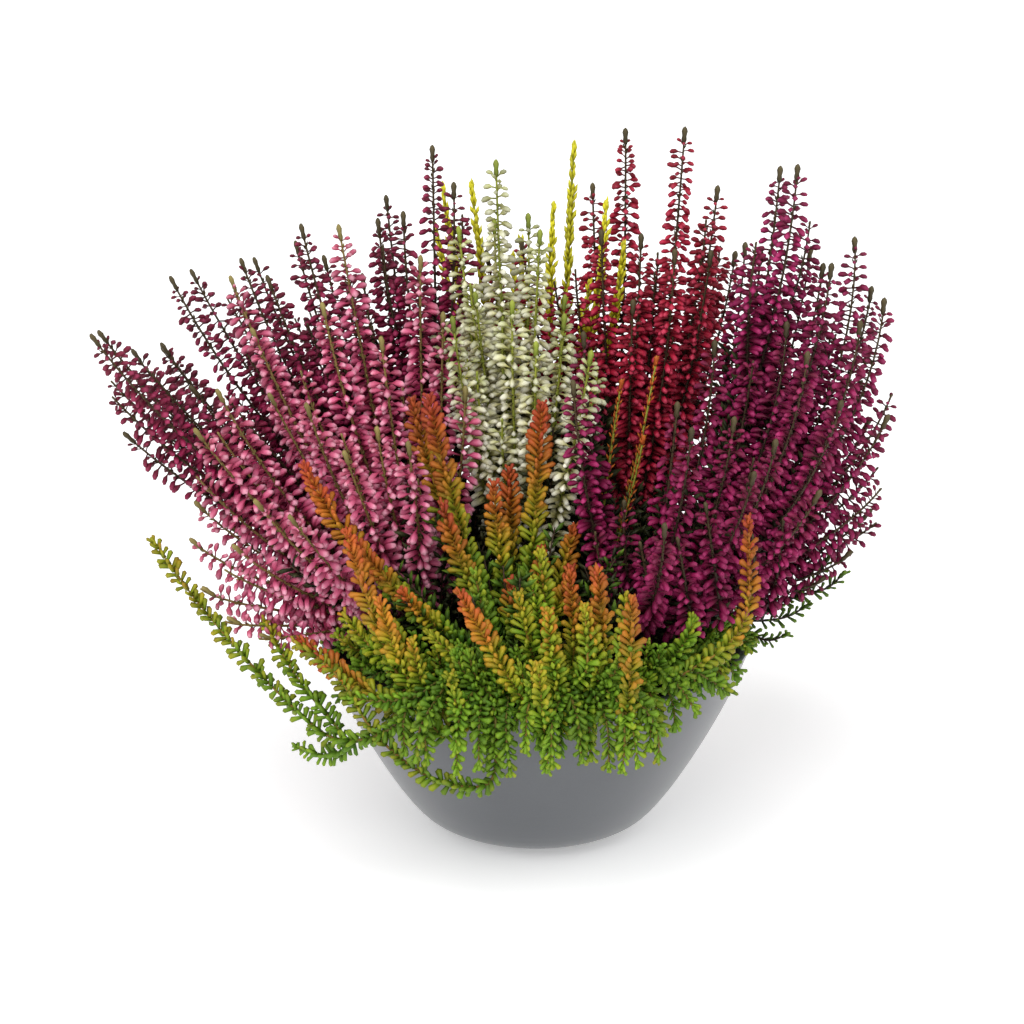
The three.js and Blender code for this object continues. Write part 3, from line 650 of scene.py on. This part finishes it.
def flowering_spike(line, form, rng, tip=GROWTH_TIP):
    """The stem, florets, scale leaves, growing tip and foot leaves of one spike."""
    length = line["run"][-1]
    tip = min(tip, length * GROWTH_TIP_MOST)
    start, stop = length * FLOWERS_FROM, length - tip * GROWTH_TIP_BARE
    own = rng.random()
    parts = [stem_part(line, STEM_THICK, STEM_THIN, STEM_SIDES, STEM, own)]
    run, turn = pairs(start, stop, form["pitch"], rng)
    crowd_stop = start + (stop - start) * form["crowded"]
    more_run, more_turn = pairs(start, crowd_stop, form["pitch"] * 2, rng)
    run, turn = np.concatenate([run, more_run]), np.concatenate([turn, more_turn])
    share = np.clip((run - start) / (stop - start), 0, 1)
    grown = np.clip((stop - run) / TOP_STRETCH, 0, 1)
    size = form["reach"] * (YOUNG_FLORET + GROWN_FLORET * grown ** 0.6)
    size = size * rng.uniform(*FLORET_SIZES, len(run))
    droop = np.clip(1 - share / DROOPING_TO, 0, 1)
    jitter = rng.normal(0, TILT_JITTER, len(run))
    tilt = np.radians(TILT_AT_TOP + TILT_GROWN * grown + TILT_DROOPING * droop + jitter)
    at, direction, along = standing_out(line, run, turn, tilt, STEM_THIN)
    chance = (1 - OWN_SHADE) * rng.random(len(run)) + OWN_SHADE * own
    loose = share > LOOSE_FROM
    for shape, chosen in ((stalked_bud, loose), (bud, ~loose)):
        girth = size[chosen] * rng.uniform(*FLORET_GIRTHS, chosen.sum())
        made = scatter(
            shape, at[chosen], direction[chosen], along[chosen],
            size[chosen], girth, chance[chosen], share[chosen],
        )
        parts.append((*made, FLORETS))
    run, turn = pairs(start, length - tip, LEAFLET_PITCH, rng)
    at, direction, along = standing_out(line, run, turn, np.full(len(run), LEAFLET_TILT), STEM_THIN)
    chance = rng.random(len(run))
    made = scatter(leaflet, at, direction, along, LEAFLET_LENGTH, LEAFLET_GIRTH, chance, run / length)
    parts.append((*made, LEAVES))
    base = on_line(line, "path", np.array([length - tip]))
    girth = GROWTH_TIP_GIRTH * tip / GROWTH_TIP
    made = scatter(growth_tip, base, line["along"][-1:], line["side"][-1:], tip, girth, own, age=0.9)
    parts.append((*made, LEAVES))
    run, turn = pairs(length * FOOT_LEAVES_FROM, start + FOOT_LEAVES_PAST, FOOT_LEAF_PITCH, rng)
    tilt = np.radians(rng.normal(*FOOT_LEAF_TILT, len(run)))
    at, direction, along = standing_out(line, run, turn, tilt, STEM_THICK)
    size = rng.uniform(*FOOT_LEAF_SIZES, len(run))
    made = scatter(leaf_bud, at, direction, along, size, size, rng.random(len(run)), age=0.1)
    parts.append((*made, FOOT_LEAVES))
    return parts


LESSER_SPIKES = {
    "crimson": 1.2, "pink": 0.4, "white": 0.8, "red": 1.0, "magenta_near": 0.1, "magenta_far": 0.7,
}
LESSER_TRIALS = 8
LESSER_STEPS = 20
LESSER_FOOT = 0.02, 0.2
LESSER_RISE = 0.55, 0.84
LESSER_TURN = -0.5, math.pi + 0.5
LESSER_ASIDE = 10, 17
LESSER_ROOM = 4.6
LESSER_TIP = 3.2
LEAST_OVERLAP = 12
COMPARED_FROM, COMPARED_HEIGHTS = 0.35, 5
FAR_OFF = 99.0


def nearness(path, others):
    """How close a path comes to the others, compared at equal heights."""
    best = FAR_OFF
    for other in others:
        low, high = max(path[0, 2], other[0, 2]), min(path[-1, 2], other[-1, 2])
        if high - low < LEAST_OVERLAP:
            continue
        z = np.linspace(low + (high - low) * COMPARED_FROM, high, COMPARED_HEIGHTS)
        a = [np.interp(z, path[:, 2], path[:, k]) for k in (0, 1)]
        b = [np.interp(z, other[:, 2], other[:, k]) for k in (0, 1)]
        best = min(best, np.hypot(a[0] - b[0], a[1] - b[1]).min())
    return best


def lesser_path(parent, taken, rng):
    """The line of a lower spike beside its parent, where there is most room, or none if it is crowded."""
    best, kept = -1, None
    along_parent = np.linspace(0, 1, len(parent))
    for _ in range(LESSER_TRIALS):
        foot = rng.uniform(*LESSER_FOOT)
        rise = rng.uniform(*LESSER_RISE)
        turn = rng.uniform(*LESSER_TURN)
        offset = rng.uniform(*LESSER_ASIDE) * np.array([math.cos(turn), math.sin(turn), 0])
        t = np.linspace(foot, foot + (1 - foot) * rise, LESSER_STEPS)
        trial = np.column_stack([np.interp(t, along_parent, parent[:, k]) for k in range(3)])
        share = np.linspace(0, 1, LESSER_STEPS)[:, None]
        trial = trial + offset * (1 - (1 - share) ** 2)
        room = nearness(trial, taken)
        if room > best:
            best, kept = room, trial
    return kept if best > LESSER_ROOM else None


taken_paths = [path for spray in sprays.values() for path in spray["paths"]]
for number, (node, spray) in enumerate(sprays.items()):
    if spray["plant"] not in LESSER_SPIKES:
        continue
    colour = spray["plant"].split("_")[0]
    form = SPIKE_FORMS[colour]
    rng = np.random.default_rng(100 + number)
    parts = []
    for path in spray["paths"]:
        parts += flowering_spike(measured(path), form, rng)
    for extra in range(int(len(spray["paths"]) * LESSER_SPIKES[spray["plant"]] + rng.random())):
        path = lesser_path(spray["paths"][extra % len(spray["paths"])], taken_paths, rng)
        if path is not None:
            taken_paths.append(path)
            parts += flowering_spike(measured(path), form, rng, tip=LESSER_TIP)
    leaves = [leaf_finish[form["leaves"]], leaf_finish["dark"]]
    finishes = [stem_finish[form["stems"]], floret_finish[colour], *leaves]
    build_mesh(node.replace("_spray_", "_flowers_"), parts, finishes, f"{colour}_flowers", node)

# Leafy spikes. The golden heather is thin and pointed, the amber one is thin with an orange top, and the
# foliage twigs are feathery: blunt side shoots in pairs, green below and orange towards the tip.
TWIG = 1
TWIG_THICK, TWIG_THIN = 0.85, 0.45
TWIG_TOP = 1.5
TWIG_GAPS = 0.08
TWIG_SIZES, TWIG_GIRTHS = (0.8, 1.16), (0.9, 1.15)
TWIG_GIRTH_FROM, TWIG_GIRTH_TO = 3.6, 6.4
TWIG_TILT_JITTER = 7
TWIG_WARMTH_JITTER = 0.05
WARMER_OUT, WARMER_FROM = 0.16, 0.4
TWIG_TIP, TWIG_TIP_GIRTH = 4.5, 7.5


def leafy_spike(
    line, rng, reach, warm, shape=side_shoot, pitch=1.35, tilt=52, low=0.04, young=3.2, girth=1.0, taper=18
):
    """A twig with pairs of side shoots, which grow shorter and more upright where it tapers at its top.

    reach is the length of its side shoots and young that of the topmost. warm is how orange the twig is
    at its foot and its tip.
    """
    length = line["run"][-1]
    own = rng.random()
    parts = [stem_part(line, TWIG_THICK, TWIG_THIN, STEM_SIDES, STEM, own, warm[0], warm[1])]
    run, turn = pairs(length * low, length - TWIG_TOP, pitch, rng)
    kept = rng.random(len(run)) > TWIG_GAPS
    run, turn = run[kept], turn[kept]
    grown = np.clip((length - run) / min(taper, length * 0.6), 0, 1)
    size = (young + (reach - young) * grown ** 0.8) * rng.uniform(*TWIG_SIZES, len(run))
    angle = np.radians(tilt * (0.45 + 0.55 * grown ** 0.5) + rng.normal(0, TWIG_TILT_JITTER, len(run)))
    at, direction, along = standing_out(line, run, turn, angle, STEM_THIN)
    jitter = rng.normal(0, TWIG_WARMTH_JITTER, len(run))
    age = warm[0] + (warm[1] - warm[0]) * run / length + jitter
    wide = girth * np.clip(size, TWIG_GIRTH_FROM, TWIG_GIRTH_TO) * rng.uniform(*TWIG_GIRTHS, len(run))
    chance = 0.5 * rng.random(len(run)) + 0.5 * own
    made = scatter(shape, at, direction, along, size, wide, chance, age)
    tone = made[2]
    tone[:, 2] = np.clip(tone[:, 2] + WARMER_OUT * (tone[:, 0] - WARMER_FROM), 0, 1)
    parts.append((*made, TWIG))
    base = on_line(line, "path", np.array([length - TWIG_TIP]))
    end_along, end_side = line["along"][-1:], line["side"][-1:]
    made = scatter(growth_tip, base, end_along, end_side, TWIG_TIP, TWIG_TIP_GIRTH, 0.6, min(1, warm[1]))
    parts.append((*made, TWIG))
    return parts


LEAFY_FORMS = {
    "golden": {
        "reach": 5.8, "warm": (0, 1), "shape": slim_bud, "pitch": 1.8, "tilt": 27, "young": 3.6,
        "girth": 1.25, "taper": 30,
    },
    "amber": {
        "reach": 3.6, "warm": (0, 1), "shape": slim_bud, "pitch": 2.2, "tilt": 40, "young": 2.6,
        "taper": 30,
    },
}
FOLIAGE_REACH = 6.8
FOLIAGE_FOOT_WARMTH = -0.1
FOLIAGE_TIP_WARMTH = 0.85, 1.05
for number, (node, spray) in enumerate(sprays.items()):
    plant = spray["plant"]
    if plant not in ("golden", "amber", "foliage"):
        continue
    rng = np.random.default_rng(300 + number)
    parts = []
    lesser = [lesser_path(path, taken_paths, rng) for path in spray["paths"] if plant == "golden"]
    for path in [*spray["paths"], *(path for path in lesser if path is not None)]:
        line = measured(path)
        if plant == "foliage":
            warm = FOLIAGE_FOOT_WARMTH, rng.uniform(*FOLIAGE_TIP_WARMTH)
            parts += leafy_spike(line, rng, FOLIAGE_REACH, warm)
        else:
            parts += leafy_spike(line, rng, **LEAFY_FORMS[plant])
    finish = foliage_finish if plant == "foliage" else floret_finish[plant]
    stem = stem_finish["warm" if plant == "foliage" else "green"]
    slot = "foliage" if plant == "foliage" else f"{plant}_flowers"
    build_mesh(node.replace("_spray_", "_twigs_"), parts, [stem, finish], slot, node)

# Woody branches. Each plant's thin brown branches rise from its crown in the soil to the forks of its
# sprays. Dark leafy shoots crowd round them, hide the soil and fill the inside of the bush.
CROWN_FOOT = 66
CROWN_THICK, CROWN_THIN, CROWN_SIDES = 4.0, 3.2, 8
BRANCH_THICK, BRANCH_THIN, BRANCH_SIDES = 1.7, 1.1, 5
SHOOT_THICK, SHOOT_THIN = 0.8, 0.4
SPRAY_SHOOTS = 3
SPRAY_SHOOT_RISE = 0.2, 0.6
SPRAY_SHOOT_TURN = 0.1, math.pi - 0.1
SPRAY_SHOOT_ASIDE = 4, 15
CROWN_SHOOTS = 16
CROWN_SHOOT_TURN, CROWN_SHOOT_JITTER = 2.4, 0.3
CROWN_SHOOT_LEAN = 0.25, 1.1
CROWN_SHOOT_LENGTH = 34, 66
CROWN_SHOOT_LIFT = 14
PLAIN_LEAF_TILT = 52, 10
DARK_LEAVES, DEEP_LEAVES = 1, 2
SHOOT_BARE = 6.0
INNER_SHOOTS = [
    ((-24, 16, 84), (-27, 20, 150)), ((-20, 30, 84), (-24, 36, 140)), ((-30, 4, 84), (-26, 6, 148)),
    ((4, 28, 84), (2, 34, 160)), ((20, 16, 84), (22, 20, 182)), ((24, 4, 84), (22, 6, 184)),
    ((28, 20, 84), (30, 26, 186)), ((-32, 30, 84), (-37, 36, 174)), ((10, 6, 84), (8, 12, 136)),
]


def leafy_shoot(line, rng, finish=DARK_LEAVES, pitch=3.8, reach=(5.5, 8.5)):
    """The plain leaves of a shoot in the bush's shaded inside."""
    run, turn = pairs(SHOOT_BARE, line["run"][-1], pitch, rng)
    tilt = np.radians(rng.normal(*PLAIN_LEAF_TILT, len(run)))
    at, direction, along = standing_out(line, run, turn, tilt, SHOOT_THICK)
    size = rng.uniform(*reach, len(run))
    made = scatter(leaf_bud, at, direction, along, size, size * 0.9, rng.random(len(run)), age=0.15)
    return *made, finish


def inner_shoot(points, rng, **leaves):
    """The thin stem and the plain leaves of a shoot through the given points."""
    line = measured(points)
    stem = stem_part(line, SHOOT_THICK, SHOOT_THIN, STEM_SIDES, STEM, rng.random(), 0.2, 0.6)
    return [stem, leafy_shoot(line, rng, **leaves)]


for number, (plant, (crown, arch)) in enumerate(CROWNS.items()):
    rng = np.random.default_rng(500 + number)
    own = [spray for spray in sprays.values() if spray["plant"] == plant]
    leaves = DEEP_LEAVES if plant in ("foliage", "golden") else DARK_LEAVES
    foot = np.array([*crown, CROWN_FOOT])
    top = np.array([*crown, BRANCHING + 2])
    trunk = measured(np.linspace(foot, top, 4))
    parts = [stem_part(trunk, CROWN_THICK, CROWN_THIN, CROWN_SIDES, STEM, high=0.2)]
    for spray in own:
        z = np.linspace(BRANCHING - 4, spray["fork"] + 1, 12)
        line = measured(np.column_stack([middle_line(plant, spray["mean"], z), z]))
        parts.append(stem_part(line, BRANCH_THICK, BRANCH_THIN, BRANCH_SIDES, STEM, rng.random(), 0.1, 0.5))
        parts.append(leafy_shoot(line, rng, leaves))
        for _ in range(SPRAY_SHOOTS):
            rise = spray["fork"] + rng.uniform(*SPRAY_SHOOT_RISE) * (spray["mean"][2] - spray["fork"])
            z = np.linspace(BRANCHING, rise, 12)
            turn = rng.uniform(*SPRAY_SHOOT_TURN)
            aside = rng.uniform(*SPRAY_SHOOT_ASIDE) * np.array([math.cos(turn), math.sin(turn)])
            aside = aside * np.linspace(0, 1, 12)[:, None]
            middle = middle_line(plant, spray["mean"], z)
            parts += inner_shoot(np.column_stack([middle + aside, z]), rng, finish=leaves)
    for shoot in range(CROWN_SHOOTS):
        turn = CROWN_SHOOT_TURN * shoot + rng.uniform(-CROWN_SHOOT_JITTER, CROWN_SHOOT_JITTER)
        lean = rng.uniform(*CROWN_SHOOT_LEAN)
        out = np.array([math.cos(turn) * math.sin(lean), math.sin(turn) * math.sin(lean), math.cos(lean)])
        t = np.linspace(0, 1, 10)[:, None]
        reach = out * rng.uniform(*CROWN_SHOOT_LENGTH) * t
        points = top - (0, 0, 3) + reach + np.array([0, 0, CROWN_SHOOT_LIFT]) * t * t
        parts += inner_shoot(points, rng, finish=leaves)
    if plant == "white":
        for foot, tip in INNER_SHOOTS:
            parts += inner_shoot(np.linspace(foot, tip, 10), rng, pitch=1.8, reach=(8, 11))
    finishes = [stem_finish["dark"], leaf_finish["dark"], leaf_finish["deep"]]
    build_mesh(f"{plant}_wood", parts, finishes, "branches", f"{plant}_branches")

# Basal twigs. A few short leafy stems spring from the wood low at the right, where the bush is open, and
# reach out sideways over the rim.
BASAL_TWIGS = [
    [(64, 11, 86), (80, 8, 93), (96, 6, 93), (111, 5, 95), (123, 5, 102)],
    [(80, 4, 92), (92, -2, 91), (103, -8, 89), (112, -12, 94)],
    [(66, 10, 88), (90, 9, 96), (112, 8, 102), (124, 8, 112), (131, 8, 124)],
    [(106, 8, 100), (120, 8, 105), (130, 8, 108), (138, 8, 116)],
]
rng = np.random.default_rng(600)
parts = []
for twig in BASAL_TWIGS:
    line = measured(smooth_through(twig, 5))
    parts += leafy_spike(line, rng, 4.8, (0.1, 0.3), pitch=2.0, tilt=58, low=0.3, girth=0.9)
build_mesh("basal_twigs", parts, [stem_finish["dark"], leaf_finish["deep"]], "foliage")

# Trailing foliage. Leafy stems leave the front crown, cross the rim and hang down outside the bowl. The
# longest lie out to the left and turn up again at their ends, and one curls up at the right.
START_OUT = 4
HANGING_BELOW = 100
HANGING_WARMTH = 0.25
TRAILING = {
    "foliage_trailing_left": ((-30, -76, 101), 0.45, [
        [(-45, -93, 100), (-62, -101, 84), (-85, -85, 74), (-104, -66, 81), (-125, -46, 95),
         (-147, -31, 116), (-167, -20, 141)],
        [(-20, -97, 99), (-17, -111, 80), (-20, -114, 66), (-40, -110, 65), (-65, -101, 80),
         (-84, -85, 103), (-103, -66, 111)],
    ], [
        [(-79, -89, 75), (-90, -74, 82), (-104, -54, 92), (-118, -34, 109)],
        [(-74, -94, 77), (-88, -80, 64), (-104, -64, 62)],
        [(-36, -83, 101), (-39, -98, 101), (-48, -112, 90), (-50, -118, 76)],
        [(-33, -80, 101), (-36, -96, 104), (-35, -108, 112)],
        [(-50, -96, 97), (-64, -96, 95), (-80, -92, 95)],
        [(-24, -92, 100), (-31, -106, 96), (-34, -116, 80)],
        [(-40, -96, 98), (-46, -107, 90), (-45, -113, 73)],
        [(-30, -97, 98), (-33, -109, 91), (-33, -116, 70)],
        [(-23, -98, 98), (-24, -111, 90), (-24, -118, 73)],
        [(-50, -92, 98), (-55, -102, 90), (-54, -108, 75)],
        [(-12, -99, 98), (-13, -111, 88), (-11, -118, 70)],
    ]),
    "foliage_front": ((13, -77, 101), 0.5, [
        [(28, -98, 101), (38, -112, 92), (41, -118, 74)],
        [(13, -96, 101), (16, -110, 94), (18, -118, 76)],
        [(0, -96, 101), (-4, -109, 96), (-5, -117, 80)],
    ], [
        [(24, -93, 101), (33, -105, 114), (36, -105, 146)],
        [(2, -93, 101), (-2, -108, 106), (-1, -112, 119)],
        [(11, -90, 101), (6, -101, 112), (4, -100, 138)],
        [(14, -92, 101), (20, -103, 112), (19, -99, 139)],
        [(27, -97, 101), (40, -102, 98), (52, -108, 84)],
        [(12, -94, 101), (6, -112, 92), (6, -120, 74)],
        [(21, -92, 101), (28, -111, 92), (29, -120, 73)],
        [(30, -94, 101), (44, -108, 96), (49, -114, 86), (49, -117, 76)],
        [(30, -92, 101), (42, -104, 98), (46, -111, 90), (45, -115, 80)],
        [(33, -96, 101), (35, -112, 94), (35, -119, 82), (34, -121, 73)],
    ]),
    "foliage_trailing_right": ((46, -70, 101), 0.9, [
        [(56, -88, 102), (67, -90, 109), (79, -83, 115), (87, -77, 126), (88, -74, 146), (87, -72, 168)],
    ], [
        [(54, -86, 102), (59, -97, 101), (66, -104, 92)],
        [(64, -90, 107), (72, -94, 103), (82, -92, 97)],
    ]),
}
for number, (node, (fork, warm, stems, side_stems)) in enumerate(TRAILING.items()):
    rng = np.random.default_rng(700 + number)
    parts = []
    fork = np.array(fork, float)
    out = unit(np.array([*(fork[:2] - CROWNS["foliage"][0]), 0.0]))
    for stem in stems + side_stems:
        start = [fork, fork + out * START_OUT] if stem in stems else []
        line = measured(smooth_through([*start, *np.array(stem, float)], 6))
        tip_warmth = HANGING_WARMTH if stem[-1][2] < HANGING_BELOW else warm
        parts += leafy_spike(line, rng, 5.3, (0.05, tip_warmth), pitch=1.7, tilt=58, girth=1.15)
    build_mesh(node + "_twigs", parts, [stem_finish["warm"], foliage_finish], "foliage", node)

# Front mass. Short green shoots fill the front of the bowl and spill over its rim, so that the rim and
# the soil can't be seen there. Taller twigs with warm tips stand up out of them.
FRONT_TWIGS = [
    ((26, -100, 102), (19, -98, 139), 0.6), ((9, -102, 96), (4, -100, 137), 0.65),
    ((3, -112, 84), (0, -112, 118), 0.45), ((-2, -92, 110), (-8, -90, 141), 0.5),
    ((3, -88, 115), (-3, -84, 145), 0.35), ((4, -82, 120), (1, -76, 155), 0.45),
    ((-19, -86, 112), (-26, -80, 147), 0.3), ((-4, -103, 93), (-33, -96, 144), 0.85),
    ((16, -88, 112), (13, -82, 148), 0.85), ((37, -111, 76), (38, -108, 146), 0.76),
    ((28, -96, 110), (24, -88, 152), 0.85), ((-31, -106, 86), (-35, -105, 106), 0.35),
    ((-40, -103, 80), (-49, -100, 96), 0.3), ((-26, -96, 98), (-35, -92, 117), 0.25),
    ((-24, -96, 99), (-29, -92, 117), 0.25), ((-52, -80, 104), (-66, -74, 128), 0.5),
    ((-66, -70, 102), (-82, -62, 122), 0.5), ((60, -72, 104), (66, -70, 124), 0.3),
    ((-59, -84, 98), (-80, -68, 161), 0.9), ((-54, -90, 98), (-66, -82, 136), 0.75),
    ((-48, -92, 97), (-52, -88, 120), 0.55), ((-20, -90, 100), (-46, -86, 122), 0.45),
    ((-58, -97, 90), (-101, -67, 112), 0.95),
]
FRONT_SHOOTS = 114
FRONT_FROM, FRONT_TO = math.radians(-168), math.radians(-7)
FRONT_CROWDING = 0.06
FRONT_MIDDLE, FRONT_REACH = math.radians(-92), math.radians(64)
FRONT_BUNCHES = 4
SHOOT_ROOT, SHOOT_ROOT_HEIGHT = (50, 64), 86
AT_RIM, AT_RIM_HEIGHT = 82, (92, 99)
SHOOT_SWAY = -10, 10
SHOOT_FOOT_WARMTH, SHOOT_TIP_WARMTH = (-0.2, 0.1), (0, 0.45)
HANGING = 0.62
HANGING_DROP = 0.1, 1
HANGING_LINE = [
    {"out": 92, "further": 7, "height": 97, "lower": 2, "sway": 0.8},
    {"out": 96, "further": 14, "height": 95, "lower": 12, "sway": 1},
    {"out": 98, "further": 17, "height": 92, "lower": 24, "sway": 1.3},
]
LYING_REACH, LYING_REACH_IN_MIDDLE = (80, 90), 14
LYING_RISE, LYING_RISE_IN_MIDDLE = (0, 8), 14
UP = np.array([0, 0, 1])
rng = np.random.default_rng(900)
bunches = [[] for bunch in range(FRONT_BUNCHES)]
for shoot in range(FRONT_SHOOTS):
    share = (shoot + rng.random()) / FRONT_SHOOTS
    turn = FRONT_FROM + (FRONT_TO - FRONT_FROM) * (share + FRONT_CROWDING * math.sin(2 * math.pi * share))
    way = np.array([math.cos(turn), math.sin(turn), 0])
    across = np.array([-way[1], way[0], 0])
    middle = max(0, 1 - abs(turn - FRONT_MIDDLE) / FRONT_REACH)
    sway = across * rng.uniform(*SHOOT_SWAY)
    root = way * rng.uniform(*SHOOT_ROOT) + UP * SHOOT_ROOT_HEIGHT
    points = [root, way * AT_RIM + UP * rng.uniform(*AT_RIM_HEIGHT) + sway * 0.4]
    if rng.random() < HANGING:
        drop = rng.uniform(*HANGING_DROP) * middle ** 0.6
        for point in HANGING_LINE:
            out = way * (point["out"] + point["further"] * drop)
            points.append(out + UP * (point["height"] - point["lower"] * drop) + sway * point["sway"])
    else:
        reach = rng.uniform(LYING_REACH[0], LYING_REACH[1] + LYING_REACH_IN_MIDDLE * middle)
        rise = rng.uniform(LYING_RISE[0], LYING_RISE[1] + LYING_RISE_IN_MIDDLE * middle)
        points.append(way * (reach + 1) + UP * (99 + rise * 0.3) + sway)
        points.append(way * (reach + 5) + UP * (102 + rise) + sway * 1.3)
    line = measured(smooth_through(points, 4))
    warm = rng.uniform(*SHOOT_FOOT_WARMTH), rng.uniform(*SHOOT_TIP_WARMTH)
    parts = leafy_spike(line, rng, 5.6 + middle, warm, pitch=1.8, tilt=56, low=0.22)
    bunches[int(share * FRONT_BUNCHES)] += parts
for number, (foot, tip, warm) in enumerate(FRONT_TWIGS):
    foot, tip = np.array(foot, float), np.array(tip, float)
    root = np.array([foot[0] * 0.75, foot[1] * 0.7, 88])
    line = measured(smooth_through([root, foot * (0.96, 0.94, 1), foot * 0.5 + tip * 0.5, tip], 6))
    bunches[number % FRONT_BUNCHES] += leafy_spike(line, rng, 6.4, (0, warm), low=0.3)
for number, parts in enumerate(bunches):
    build_mesh(f"front_shoots_{number + 1}", parts, [stem_finish["warm"], foliage_finish], "foliage")

# Floor, light and camera. The planter stands on a plain white table under a wide soft light, and is
# seen from the front and a little from above.
CAMERA_TARGET = Vector((-10.5 * MM, 0, 146 * MM))
CAMERA_DISTANCE = 1.3
CAMERA_HEIGHT_ANGLE = math.radians(18)
CAMERA_LENS, CAMERA_SENSOR = 104.2, 36
TABLE_SIZE = 30
TABLE_BELOW = 0.0002
LAMPS = {
    "key": {"toward": (0.35, 0.7, -1.0), "spread": 50, "strength": 1.9},
    "side": {"toward": (-0.8, 0.4, -0.75), "spread": 50, "strength": 0.7},
    "front": {"toward": (0.1, 1.0, -0.35), "spread": 40, "strength": 0.6},
}

bpy.ops.mesh.primitive_plane_add(size=TABLE_SIZE, location=(0, 0, -TABLE_BELOW))
table = bpy.context.object
table.name = "table_top"
table_finish = bpy.data.materials.new("white_table")
table_finish.use_nodes = True
shader = table_finish.node_tree.nodes["Principled BSDF"]
set_inputs(shader, {
    "Base Color": (0.93, 0.93, 0.93, 1), "Roughness": 0.9, "Specular IOR Level": 0.1,
    "Emission Color": (1, 1, 1, 1), "Emission Strength": 0.3,
})
table.data.materials.append(table_finish)

world = bpy.data.worlds.new("studio")
bpy.context.scene.world = world
world.use_nodes = True
set_inputs(world.node_tree.nodes["Background"], {"Color": (1, 1, 1, 1), "Strength": 0.5})
for name, light in LAMPS.items():
    aim = Vector(light["toward"]).to_track_quat("-Z", "Y").to_euler()
    bpy.ops.object.light_add(type="SUN", rotation=aim)
    lamp = bpy.context.object
    lamp.name = f"{name}_light"
    lamp.data.angle = math.radians(light["spread"])
    lamp.data.energy = light["strength"]

back = Vector((0, -math.cos(CAMERA_HEIGHT_ANGLE), math.sin(CAMERA_HEIGHT_ANGLE)))
bpy.ops.object.camera_add(
    location=CAMERA_TARGET + back * CAMERA_DISTANCE, rotation=(math.pi / 2 - CAMERA_HEIGHT_ANGLE, 0, 0)
)
camera = bpy.context.object
camera.data.lens = CAMERA_LENS
camera.data.sensor_width = CAMERA_SENSOR
bpy.context.scene.camera = camera
bpy.context.scene.view_settings.view_transform = "Standard"
